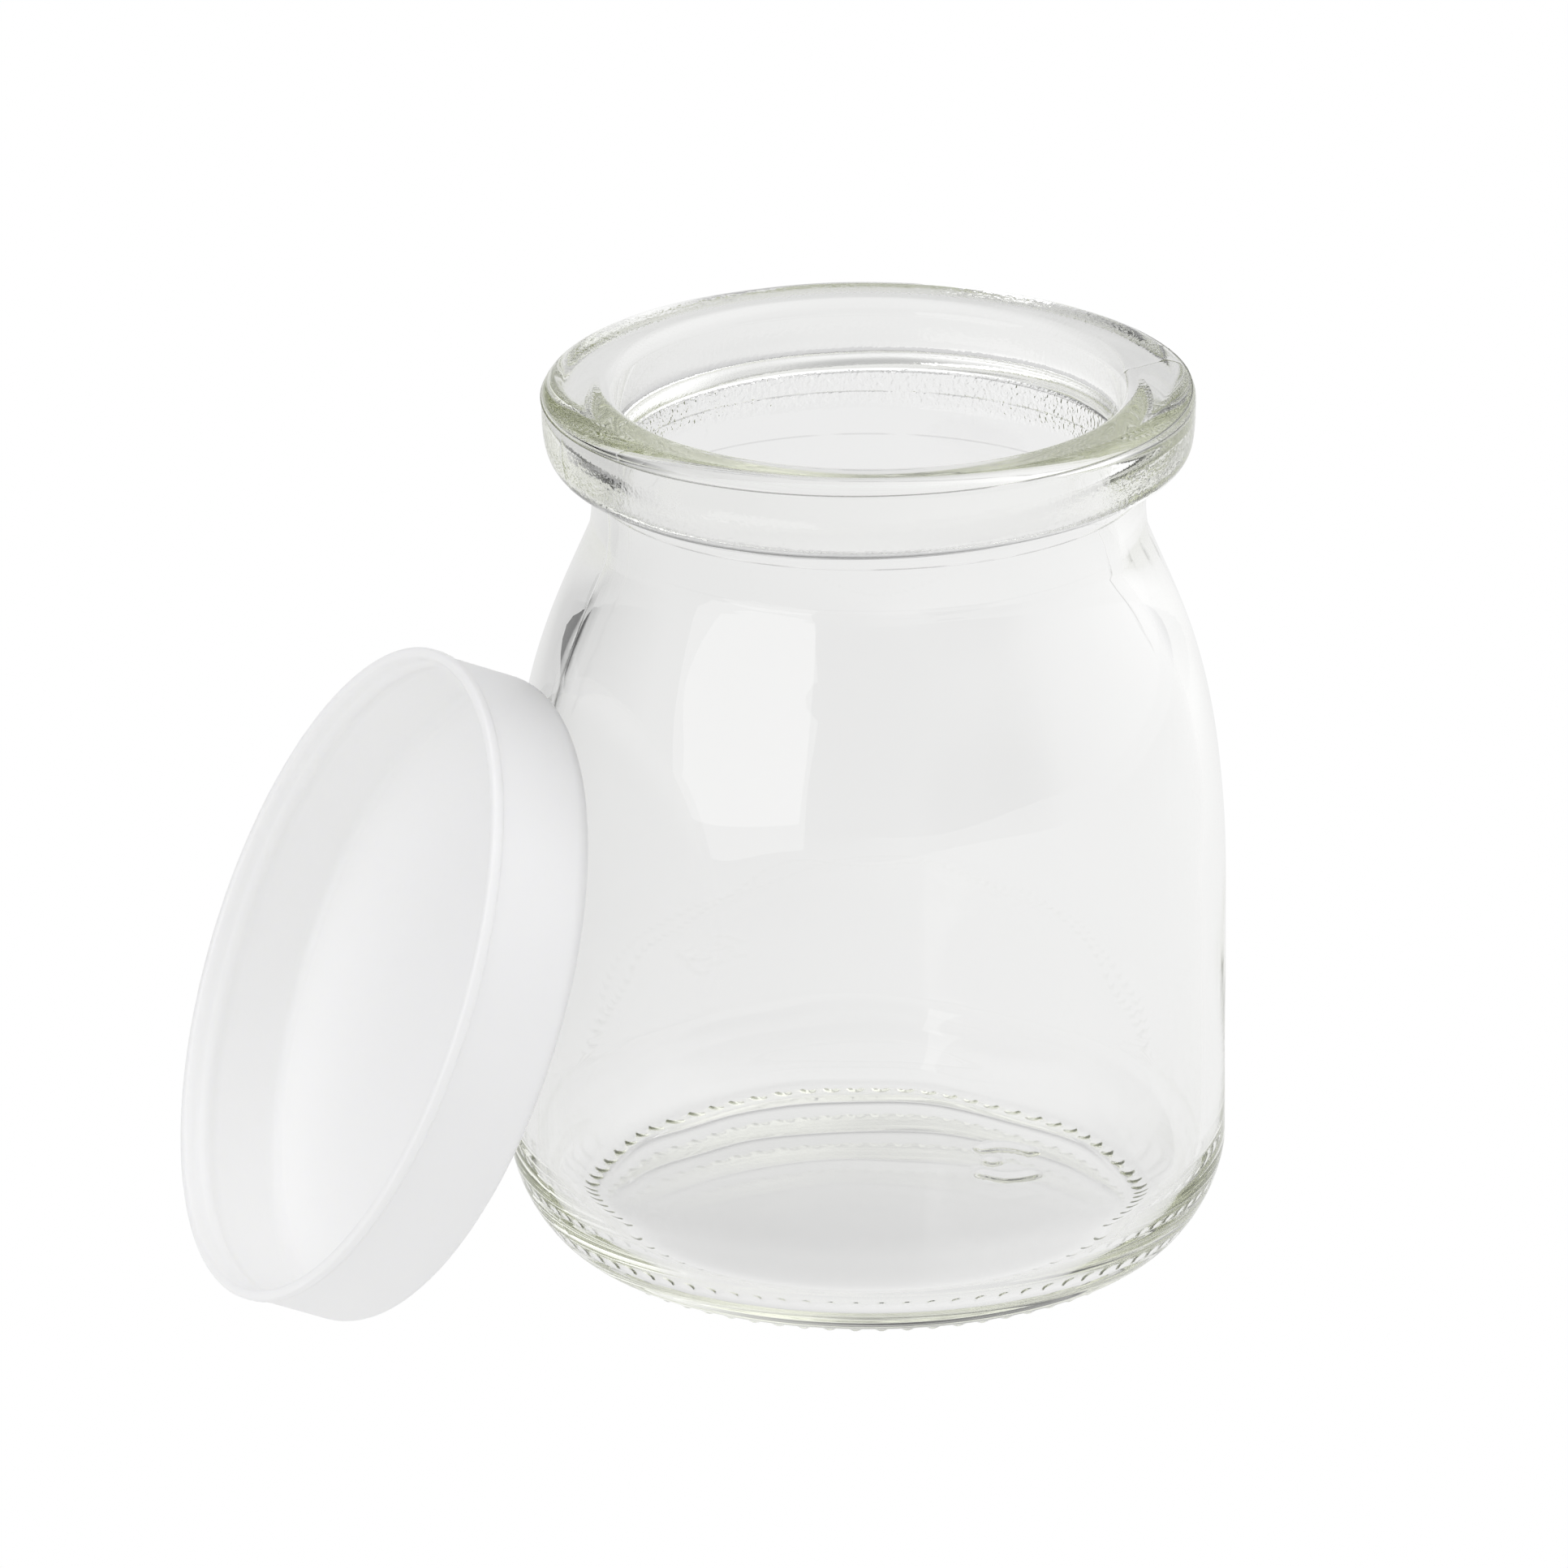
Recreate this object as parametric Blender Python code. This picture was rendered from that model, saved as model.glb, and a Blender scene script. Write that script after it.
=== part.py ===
"""Single-serve glass jar, empty, with its push-on plastic lid leaning against it.

Metres, +Z up. The jar stands on a ring of small raised knurls at z = 0, and the lid stands on the
rounded edge of its closed face and leans towards the jar's shoulder. The origin is at the bottom
centre of the two together.
"""

import math

import bmesh
import bpy
from mathutils import Vector

MM = 0.001

# Jar, outside
JAR_STEPS = 72
KNURL_PROUD = 0.2 * MM
HEEL_START_R = 28.8 * MM
HEEL_TOP_Z = 10.2 * MM
HEEL_FULLNESS = 1.62
BODY_R = 35.43 * MM
WALL_TOP_R = 35.29 * MM
WALL_TOP_Z = 35.5 * MM
SHOULDER_TOP_R = 27.44 * MM
SHOULDER_TOP_Z = 72.6 * MM
SHOULDER_TOP_SLOPE = -0.417
SHOULDER_EASE_LOW = 21.7 * MM
SHOULDER_EASE_HIGH = 9.3 * MM
NECK_R = 26.9 * MM
NECK_TOP_R = 27.6 * MM
NECK_TOP_Z = 79.7 * MM
LEDGE_R = 30.4 * MM
LEDGE_Z = 80.75 * MM
LEDGE_EASE = Vector((1.35, 0.5)) * MM
BEAD_R = 31.9 * MM
BEAD_WIDEST_Z = 86.6 * MM
BEAD_SIDE_EASE = 3.4 * MM
BEAD_TOP_EASE = 1.2 * MM
BEAD_CORNER_R = 29.6 * MM
RIM_Z = 88.25 * MM

# Jar, inside
UNDERSIDE_RISE = 0.6 * MM
UNDERSIDE_DISH_R = 26.8 * MM
FLOOR_Z = 3.8 * MM
FLOOR_EDGE_Z = 3.7 * MM
FLOOR_FLAT_R = 26.0 * MM
INNER_HEEL_TOP_Z = 12.0 * MM
INNER_HEEL_FULLNESS = 2.0
WALL = 2.4 * MM
INNER_WALL_EASE = 29.0 * MM
THROAT_EASE = 12.0 * MM
THROAT_R = 24.1 * MM
THROAT_Z = 76.5 * MM
THROAT_TOP_R = 24.8 * MM
THROAT_TOP_Z = 86.5 * MM
LAND_INNER_R = 26.3 * MM
LAND_INNER_Z = 88.0 * MM

# Knurls under the jar
KNURLS = 72
KNURL_R = 28.75 * MM
KNURL_LENGTH = 2.5 * MM
KNURL_WIDTH = 1.65 * MM
KNURL_CROWN = 0.55
KNURL_SIDES = 8
KNURL_ROOT = 0.35 * MM

# Plain mould mark under the jar: two bowed bars and a dot
MARK_CENTRE = (14.0 * MM, 9.5 * MM)
MARK_BAR_LENGTH = 4.6 * MM
MARK_BAR_WIDTH = 1.0 * MM
MARK_BAR_APART = 6.4 * MM
MARK_BAR_BOW = 0.9 * MM
MARK_DOT_R = 0.8 * MM
MARK_PROUD = 0.4 * MM
MARK_ROOT = 0.4 * MM

# Lid
LID_STEPS = 64
LID_R = 32.65 * MM
LID_LIP_R = 32.93 * MM
LID_LIP_HEIGHT = 1.1 * MM
LID_HEIGHT = 11.2 * MM
LID_WALL = 0.9 * MM
LID_EDGE_R = 2.1 * MM
LID_SNAP_DEPTH = 2.2 * MM
LID_SNAP_PROUD = 0.3 * MM
LID_SNAP_HALF = 0.8 * MM
LID_HEADING = math.radians(18.7)
LID_LEAN = math.radians(22.8)
LID_MOUTH_FROM_JAR = Vector((-52.03, -19.3)) * MM

GLASS_COLOUR = (0.86, 0.88, 0.84, 1.0)
LID_COLOUR = (0.86, 0.86, 0.85, 1.0)


def clear_scene():
    for obj in list(bpy.data.objects):
        bpy.data.objects.remove(obj, do_unlink=True)


def material(name, colour, roughness, transmission, alpha):
    made = bpy.data.materials.new(name)
    made.use_nodes = True
    shader = made.node_tree.nodes["Principled BSDF"]
    shader.inputs["Base Color"].default_value = colour
    shader.inputs["Roughness"].default_value = roughness
    shader.inputs["Metallic"].default_value = 0.0
    shader.inputs["Transmission Weight"].default_value = transmission
    shader.inputs["Alpha"].default_value = alpha
    return made


def steps(count):
    """Fractions from 0 to 1 in `count` equal steps, without the 0."""
    return [i / count for i in range(1, count + 1)]


def bezier(start, start_handle, end_handle, end, count):
    points = []
    for t in steps(count):
        s = 1 - t
        weights = (s * s * s, 3 * s * s * t, 3 * s * t * t, t * t * t)
        knots = (start, start_handle, end_handle, end)
        points.append(tuple(sum(w * k[i] for w, k in zip(weights, knots)) for i in (0, 1)))
    return points


def round_up(start, end, fullness, count):
    """A rounded corner from a level start to an upright end; fullness 2 is a quarter ellipse."""
    points = []
    for t in steps(count):
        angle = t * math.pi / 2
        across = math.sin(angle) ** (2 / fullness)
        rise = 1 - max(math.cos(angle), 0.0) ** (2 / fullness)
        points.append((start[0] + (end[0] - start[0]) * across, start[1] + (end[1] - start[1]) * rise))
    return points


def dish(centre_z, edge, count):
    """From the axis out to the edge along a shallow parabola."""
    return [
        (edge[0] * t, centre_z + (edge[1] - centre_z) * t * t)
        for t in [0.0] + steps(count)
    ]


def jar_outside():
    """Outline from the axis under the base, out, up the outside and over the rim."""
    base_z = KNURL_PROUD
    shoulder_slope = Vector((SHOULDER_TOP_SLOPE, 1.0)) * SHOULDER_EASE_HIGH
    wall_up = Vector((WALL_TOP_R - BODY_R, WALL_TOP_Z - HEEL_TOP_Z)).normalized() * SHOULDER_EASE_LOW
    points = dish(base_z + UNDERSIDE_RISE, (UNDERSIDE_DISH_R, base_z), 4)
    points.append((HEEL_START_R, base_z))
    points += round_up((HEEL_START_R, base_z), (BODY_R, HEEL_TOP_Z), HEEL_FULLNESS, 7)
    points.append((WALL_TOP_R, WALL_TOP_Z))
    points += bezier(
        (WALL_TOP_R, WALL_TOP_Z),
        (WALL_TOP_R + wall_up.x, WALL_TOP_Z + wall_up.y),
        (SHOULDER_TOP_R - shoulder_slope.x, SHOULDER_TOP_Z - shoulder_slope.y),
        (SHOULDER_TOP_R, SHOULDER_TOP_Z),
        7,
    )
    points += bezier(
        (SHOULDER_TOP_R, SHOULDER_TOP_Z),
        (NECK_R, SHOULDER_TOP_Z + 1.5 * MM),
        (NECK_R, NECK_TOP_Z - 1.5 * MM),
        (NECK_TOP_R, NECK_TOP_Z),
        3,
    )
    points.append((LEDGE_R, LEDGE_Z))
    points += bezier(
        (LEDGE_R, LEDGE_Z),
        (LEDGE_R + LEDGE_EASE.x, LEDGE_Z + LEDGE_EASE.y),
        (BEAD_R, BEAD_WIDEST_Z - BEAD_SIDE_EASE),
        (BEAD_R, BEAD_WIDEST_Z),
        5,
    )
    points += bezier(
        (BEAD_R, BEAD_WIDEST_Z),
        (BEAD_R, BEAD_WIDEST_Z + BEAD_TOP_EASE),
        (BEAD_CORNER_R + 0.8 * MM, RIM_Z),
        (BEAD_CORNER_R, RIM_Z),
        4,
    )
    return points


def jar_inside():
    """Outline from the rim's inner corner down the throat, shoulder and wall to the floor's centre."""
    inner_r = BODY_R - WALL
    shoulder_r = WALL_TOP_R - WALL
    points = [(LAND_INNER_R, LAND_INNER_Z)]
    points += bezier(
        (LAND_INNER_R, LAND_INNER_Z),
        (LAND_INNER_R - 0.6 * MM, LAND_INNER_Z - 0.1 * MM),
        (THROAT_TOP_R, THROAT_TOP_Z + 0.9 * MM),
        (THROAT_TOP_R, THROAT_TOP_Z),
        3,
    )
    points.append((THROAT_R, THROAT_Z))
    points += bezier(
        (THROAT_R, THROAT_Z),
        (THROAT_R, THROAT_Z - THROAT_EASE),
        (shoulder_r, WALL_TOP_Z + INNER_WALL_EASE),
        (shoulder_r, WALL_TOP_Z),
        7,
    )
    points.append((inner_r, INNER_HEEL_TOP_Z))
    heel = round_up((FLOOR_FLAT_R, FLOOR_EDGE_Z), (inner_r, INNER_HEEL_TOP_Z), INNER_HEEL_FULLNESS, 6)
    points += list(reversed(heel[:-1]))
    points += list(reversed(dish(FLOOR_Z, (FLOOR_FLAT_R, FLOOR_EDGE_Z), 2)))
    return points


def lid_outline():
    """Outline of the lid, mouth at z = 0 and closed face on top, from inside the mouth round to the axis."""
    inner_r = LID_R - LID_WALL
    inner_top = LID_HEIGHT - LID_WALL
    edge_inner = LID_EDGE_R - LID_WALL
    points = [(0.0, inner_top), (inner_r - edge_inner, inner_top)]
    for angle in [math.pi / 6, math.pi / 3, math.pi / 2]:
        points.append(
            (
                inner_r - edge_inner + edge_inner * math.sin(angle),
                inner_top - edge_inner + edge_inner * math.cos(angle),
            )
        )
    points += [
        (inner_r, LID_SNAP_DEPTH + LID_SNAP_HALF),
        (inner_r - LID_SNAP_PROUD, LID_SNAP_DEPTH),
        (inner_r, LID_SNAP_DEPTH - LID_SNAP_HALF),
        (inner_r + 0.15 * MM, 0.0),
        (LID_LIP_R - 0.2 * MM, 0.0),
        (LID_LIP_R, 0.25 * MM),
        (LID_LIP_R, LID_LIP_HEIGHT - 0.25 * MM),
        (LID_R, LID_LIP_HEIGHT),
    ]
    for t in range(6):
        angle = t * math.pi / 10
        points.append(
            (
                LID_R - LID_EDGE_R + LID_EDGE_R * math.cos(angle),
                LID_HEIGHT - LID_EDGE_R + LID_EDGE_R * math.sin(angle),
            )
        )
    points.append((0.0, LID_HEIGHT))
    return points


def turned(name, outline, count, finish):
    """A solid turned round Z from an outline whose two ends lie on the axis."""
    shape = bmesh.new()
    verts = [shape.verts.new((r, 0.0, z)) for r, z in outline]
    edges = [shape.edges.new(pair) for pair in zip(verts, verts[1:])]
    bmesh.ops.spin(
        shape,
        geom=verts + edges,
        cent=(0.0, 0.0, 0.0),
        axis=(0.0, 0.0, 1.0),
        angle=2 * math.pi,
        steps=count,
        use_merge=True,
    )
    bmesh.ops.remove_doubles(shape, verts=shape.verts, dist=0.001 * MM)
    bmesh.ops.recalc_face_normals(shape, faces=shape.faces)
    return as_object(name, shape, finish)


def as_object(name, shape, finish):
    mesh = bpy.data.meshes.new(name)
    shape.to_mesh(mesh)
    shape.free()
    mesh.materials.append(finish)
    obj = bpy.data.objects.new(name, mesh)
    bpy.context.scene.collection.objects.link(obj)
    return obj


def pad(name, rings, finish):
    """A closed low pad through rings of equal length, from the lowest to the highest."""
    shape = bmesh.new()
    loops = [[shape.verts.new(point) for point in ring] for ring in rings]
    for lower, upper in zip(loops, loops[1:]):
        for i, vert in enumerate(lower):
            j = (i + 1) % len(lower)
            shape.faces.new((vert, lower[j], upper[j], upper[i]))
    shape.faces.new(list(reversed(loops[0])))
    shape.faces.new(loops[-1])
    bmesh.ops.recalc_face_normals(shape, faces=shape.faces)
    return as_object(name, shape, finish)


def oval(centre, length, width, z, turn, count):
    """An oval ring whose long axis points along `turn`."""
    along = Vector((math.cos(turn), math.sin(turn)))
    across = Vector((-along.y, along.x))
    ring = []
    for i in range(count):
        angle = 2 * math.pi * (i + 0.5) / count
        spot = centre + along * (length / 2 * math.cos(angle)) + across * (width / 2 * math.sin(angle))
        ring.append((spot.x, spot.y, z))
    return ring


def knurl(index, finish):
    """One raised bar of the bearing ring, long along the radius, with a flat crown at z = 0."""
    turn = 2 * math.pi * (index + 0.5) / KNURLS
    centre = Vector((math.cos(turn), math.sin(turn))) * KNURL_R
    crown = oval(
        centre, KNURL_LENGTH * KNURL_CROWN, KNURL_WIDTH * KNURL_CROWN, 0.0, turn, KNURL_SIDES
    )
    foot = oval(centre, KNURL_LENGTH, KNURL_WIDTH, KNURL_PROUD, turn, KNURL_SIDES)
    root = oval(centre, KNURL_LENGTH, KNURL_WIDTH, KNURL_PROUD + KNURL_ROOT, turn, KNURL_SIDES)
    return pad(f"knurl_{index}", [crown, foot, root], finish)


def mark_bar(index, side, finish):
    """One bar of the mould mark, bowed away from the other."""
    centre = Vector(MARK_CENTRE)
    underside = KNURL_PROUD + UNDERSIDE_RISE * (1 - (centre.length / UNDERSIDE_DISH_R) ** 2)
    cuts = 5
    near, far = [], []
    for i in range(cuts):
        t = i / (cuts - 1) * 2 - 1
        bow = MARK_BAR_BOW * (1 - t * t)
        middle = centre + Vector((t * MARK_BAR_LENGTH / 2, side * (MARK_BAR_APART / 2 + bow)))
        near.append(middle + Vector((0.0, -MARK_BAR_WIDTH / 2)))
        far.append(middle + Vector((0.0, MARK_BAR_WIDTH / 2)))
    flat = near + list(reversed(far))
    low = [(p.x, p.y, underside - MARK_PROUD) for p in flat]
    high = [(p.x, p.y, underside + MARK_ROOT) for p in flat]
    return pad(f"mark_bar_{index}", [low, high], finish)


def mark_dot(finish):
    centre = Vector(MARK_CENTRE) - Vector((MARK_BAR_LENGTH / 2 - MARK_DOT_R, 0.0))
    underside = KNURL_PROUD + UNDERSIDE_RISE * (1 - (centre.length / UNDERSIDE_DISH_R) ** 2)
    size = 2 * MARK_DOT_R
    low = oval(centre, size, size, underside - MARK_PROUD, 0.0, 8)
    high = oval(centre, size, size, underside + MARK_ROOT, 0.0, 8)
    return pad("mark_dot", [low, high], finish)


def fuse(obj, additions):
    """Joins the additions to the object with one Boolean union, applies it and removes them."""
    group = bpy.data.collections.new(obj.name + "_relief")
    bpy.context.scene.collection.children.link(group)
    for addition in additions:
        bpy.context.scene.collection.objects.unlink(addition)
        group.objects.link(addition)
    union = obj.modifiers.new("relief", "BOOLEAN")
    union.operation = "UNION"
    union.operand_type = "COLLECTION"
    union.collection = group
    union.solver = "EXACT"
    graph = bpy.context.evaluated_depsgraph_get()
    joined = bpy.data.meshes.new_from_object(obj.evaluated_get(graph))
    obj.modifiers.remove(union)
    obj.data = joined
    for addition in additions:
        bpy.data.objects.remove(addition, do_unlink=True)
    bpy.data.collections.remove(group)


def shade(obj, sharp_angle):
    obj.data.shade_smooth()
    obj.data.set_sharp_from_angle(angle=sharp_angle)


def make_jar():
    glass = material("soda_lime_glass", GLASS_COLOUR, 0.03, 1.0, 0.35)
    jar = turned("jar", jar_outside() + jar_inside(), JAR_STEPS, glass)
    relief = [knurl(i, glass) for i in range(KNURLS)]
    relief += [mark_bar(i, side, glass) for i, side in enumerate((-1, 1))]
    relief.append(mark_dot(glass))
    fuse(jar, relief)
    shade(jar, math.radians(35))
    return jar


def make_lid():
    plastic = material("milky_polyethylene", LID_COLOUR, 0.35, 0.0, 1.0)
    lid = turned("lid", lid_outline(), LID_STEPS, plastic)
    shade(lid, math.radians(35))
    lid.rotation_euler = (0.0, math.pi / 2 + LID_LEAN, LID_HEADING)
    lid.location = (LID_MOUTH_FROM_JAR.x, LID_MOUTH_FROM_JAR.y, 0.0)
    bpy.context.view_layer.update()
    lid.location.z = -min((lid.matrix_world @ vert.co).z for vert in lid.data.vertices)
    return lid


def stand_on_origin(objects):
    """Moves the objects together so that the bottom centre of their box is the origin."""
    bpy.context.view_layer.update()
    corners = [obj.matrix_world @ vert.co for obj in objects for vert in obj.data.vertices]
    low = Vector([min(c[i] for c in corners) for i in range(3)])
    high = Vector([max(c[i] for c in corners) for i in range(3)])
    shift = Vector(((low.x + high.x) / 2, (low.y + high.y) / 2, low.z))
    for obj in objects:
        obj.location -= shift
    bpy.context.view_layer.update()


clear_scene()
stand_on_origin([make_jar(), make_lid()])
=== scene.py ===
import math

import bpy
import numpy as np
from mathutils import Euler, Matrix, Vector


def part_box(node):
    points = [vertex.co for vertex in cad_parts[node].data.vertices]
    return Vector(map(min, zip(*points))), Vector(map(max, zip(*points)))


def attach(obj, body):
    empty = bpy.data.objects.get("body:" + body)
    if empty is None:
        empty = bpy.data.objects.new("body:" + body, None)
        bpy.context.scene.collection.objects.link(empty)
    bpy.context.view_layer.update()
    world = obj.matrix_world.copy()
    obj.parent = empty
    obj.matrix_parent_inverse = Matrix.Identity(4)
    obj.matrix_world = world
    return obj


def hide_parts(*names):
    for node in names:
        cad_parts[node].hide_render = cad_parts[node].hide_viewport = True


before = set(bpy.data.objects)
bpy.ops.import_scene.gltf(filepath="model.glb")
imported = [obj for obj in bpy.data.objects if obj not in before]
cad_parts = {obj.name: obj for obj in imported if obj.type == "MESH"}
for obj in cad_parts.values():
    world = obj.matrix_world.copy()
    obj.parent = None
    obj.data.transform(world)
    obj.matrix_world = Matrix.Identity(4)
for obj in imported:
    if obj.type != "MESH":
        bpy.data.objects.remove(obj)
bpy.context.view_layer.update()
print("frame loaded:", sorted(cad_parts))

mm = 0.001
jarLow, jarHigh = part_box("jar")
lidLow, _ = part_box("lid")
jarAxis = (jarLow + jarHigh) / 2  # the jar is round, so its box is centred on its axis


def linearFromHex(code):
    # sRGB hex to the linear values that shader sockets take
    channels = [int(code[i:i + 2], 16) / 255 for i in (1, 3, 5)]
    return tuple(c / 12.92 if c <= 0.04045 else ((c + 0.055) / 1.055) ** 2.4 for c in channels) + (1.0,)


def newMaterial(name):
    made = bpy.data.materials.new(name)
    made.use_nodes = True
    made.node_tree.nodes.clear()
    return made


def addNode(tree, kind, settings=None, **inputs):
    # settings are the node's own options; inputs are socket values, or (node, output) pairs to link
    node = tree.nodes.new(kind)
    for key, value in (settings or {}).items():
        setattr(node, key, value)
    for key, value in inputs.items():
        socket = node.inputs[int(key[1:])] if key[1:].isdigit() else node.inputs[key.replace("_", " ")]
        if isinstance(value, tuple) and isinstance(value[0], bpy.types.Node):
            tree.links.new(value[0].outputs[value[1]], socket)
        else:
            socket.default_value = value
    return node


def bezier(start, startHandle, endHandle, end, count):
    t = np.linspace(0, 1, count + 1)[1:, None]
    s = 1 - t
    knots = [np.array(p, float) for p in (start, startHandle, endHandle, end)]
    return s ** 3 * knots[0] + 3 * s * s * t * knots[1] + 3 * s * t * t * knots[2] + t ** 3 * knots[3]


def roundCorner(start, end, fullness, count):
    # from a level start to an upright end; fullness 2 is a quarter ellipse
    angle = np.linspace(0, math.pi / 2, count + 1)[1:]
    across = np.sin(angle) ** (2 / fullness)
    rise = 1 - np.clip(np.cos(angle), 0, 1) ** (2 / fullness)
    return np.stack([start[0] + (end[0] - start[0]) * across, start[1] + (end[1] - start[1]) * rise], 1)


def smoothBump(x):
    # 1 at x = 0, falling smoothly to 0 at |x| = 1
    return np.clip(1 - x * x, 0, 1) ** 2


def slowWaves(points, size, seed):
    # smooth random unevenness from a few long sine waves, about -1 to 1; size is their length in mm
    draw = np.random.default_rng(seed)
    total = np.zeros(points.shape[:-1])
    for _ in range(9):
        heading = draw.normal(size=3)
        heading *= 2 * math.pi / (np.linalg.norm(heading) * size * draw.uniform(0.7, 1.5))
        total += np.sin(points @ heading + draw.uniform(0, 2 * math.pi))
    return total / 4


def waves(points, plan):
    height, size, seed = plan
    return height * slowWaves(points, size, seed)


cameraPlan = {
    "fromJarAxis": (-8.258, -1393.74, 557.56),  # mm
    "lookDown": 20.146,                          # degrees
    "lens": 346.74,
    "sensor": 36.0,
}


def makeCamera(plan):
    data = bpy.data.cameras.new("camera")
    data.lens = plan["lens"]
    data.sensor_width = plan["sensor"]
    data.clip_start = 0.05
    data.clip_end = 30
    camera = bpy.data.objects.new("camera", data)
    bpy.context.scene.collection.objects.link(camera)
    x, y, z = (v * mm for v in plan["fromJarAxis"])
    camera.location = (jarAxis.x + x, jarAxis.y + y, z)
    camera.rotation_euler = (math.radians(90 - plan["lookDown"]), 0, 0)
    bpy.context.scene.camera = camera


makeCamera(cameraPlan)
print("camera placed")


jar = {
    # outside, mm from the axis and from the floor
    "baseZ": 0.26, "heelStartR": 28.8, "heelTopZ": 10.2, "heelFullness": 1.62,
    "bodyR": 35.43, "wallTopR": 35.29, "wallTopZ": 35.5,
    "shoulderTopR": 27.44, "shoulderTopZ": 72.6, "shoulderTopSlope": -0.417,
    "shoulderEaseLow": 21.7, "shoulderEaseHigh": 9.3,
    "neckR": 26.9, "neckTopR": 27.6, "neckTopZ": 79.7,
    "ledgeR": 30.4, "ledgeZ": 80.75, "ledgeEase": (1.35, 0.5),
    "beadR": 31.9, "beadWidestZ": 86.6, "beadSideEase": 3.4, "beadTopEase": (0.8, 1.2),
    "beadCornerR": 29.6, "rimZ": 88.25,
    # inside
    "undersideRise": 0.6, "undersideDishR": 26.8,
    "floorZ": 3.8, "floorEdgeZ": 3.7, "floorFlatR": 26.0, "innerHeelTopZ": 12.0, "innerHeelFullness": 2.0,
    "floorTilt": 0.02, "floorTiltFade": 9.0,  # the glass settled thicker at the back of the floor
    "wall": 2.4, "throatEase": 12.0, "innerWallEase": 29.0,
    "throatR": 24.1, "throatZ": 76.5, "throatTopR": 24.8, "throatTopZ": 86.5,
    "landInnerR": 26.3, "landInnerZ": 88.0, "lipEase": (0.6, 0.1), "throatTopEase": 0.9, "neckEase": 1.5,
    # mesh
    "columns": 216, "fineSplit": 3,
}

# a ring of small crowns that the jar stands on; crown above 1 makes them fuller
knurl = {"count": 72, "radius": 28.75, "length": 2.5, "width": 1.65, "proud": 0.26, "crown": 1.25}

# a plain mark under the floor: two bowed bars and a dot
mouldMark = {
    "centre": (14.0, 9.5), "barLength": 4.6, "barWidth": 1.1, "barsApart": 6.4, "barBow": 0.9,
    "dotR": 0.8, "dotSpread": 1.4, "proud": 0.4,
}

# fine ridges where the parts of the mould met: height and half width in mm, slope to the right and to the back
seams = {
    "sideAzimuths": (-159.0, 21.0),  # degrees from +X, on opposite sides
    "sideHeight": 0.03, "sideHalfWidth": 0.25,
    "sideFromZ": 56.0, "sideFade": 6.0, "sideLeast": 0.15,  # the side seams are all but lost on the body
    "beadZ": 87.15, "beadTilt": 0.0155, "beadTiltReach": 3.0, "beadHeight": 0.12, "beadHalfWidth": 0.1,
    "ledgeTilt": (0.0188, 0.0130), "ledgeTiltZone": (1.3, 5.5, 3.0),
    "cornerHeight": 0.05, "cornerHalfWidth": 0.1,
    "neckLineZ": 78.1, "neckLineBelow": 1.6, "neckLineTilt": (0.0077, 0.0),
    "neckLineHeight": 0.06, "neckLineHalfWidth": 0.1,
    "lowLineZ": 73.9, "lowLineHeight": 0.05, "lowLineHalfWidth": 0.12,
    "lowLineAtSides": 0.1, "lowLineToBack": 1.5,  # the low line is plain at the back and faint at the front
}

# slow unevenness of the glass: height, length and seed of its waves, and how it fades by the lip and the floor
glassWaves = {
    "outside": (0.03, 14.0, 5), "insideLong": (0.10, 30.0, 11), "insideShort": (0.02, 11.0, 12),
    "lipFade": 8.0, "floorFade": 10.0, "floorLeast": 0.2,
}

# painted shade along the mould's seams, dark grey lines that stand in for light the seam ridges bend away: depth
# from 0 to 1, half width in mm, share of its length that shows, length of its streaks in mm, seed
graphite = {
    "bead": (0.9, 0.11, 1.0, 6.0, 21), "corner": (0.75, 0.10, 0.7, 6.0, 22),
    "neckLine": (0.6, 0.09, 0.6, 6.0, 23), "lowLine": (0.45, 0.09, 0.8, 6.0, 24),
    "side": (0.85, 0.5, 0.55, 2.0, 27),
    "sideBetweenZ": (58.0, 70.0), "sideRagged": (0.25, 2.5, 26),
}

# the pebbled skin left by the mould's neck ring: rough round the back of the neck, faint up the bead's side
mouldSkin = {
    "lowZ": 76.4, "fade": 0.8, "cornerFade": 0.4, "beadTopZ": 85.5, "beadShare": 0.12,
    "atSides": 0.35, "toBack": 1.6, "patches": (0.3, 12.0, 28),
}


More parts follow.
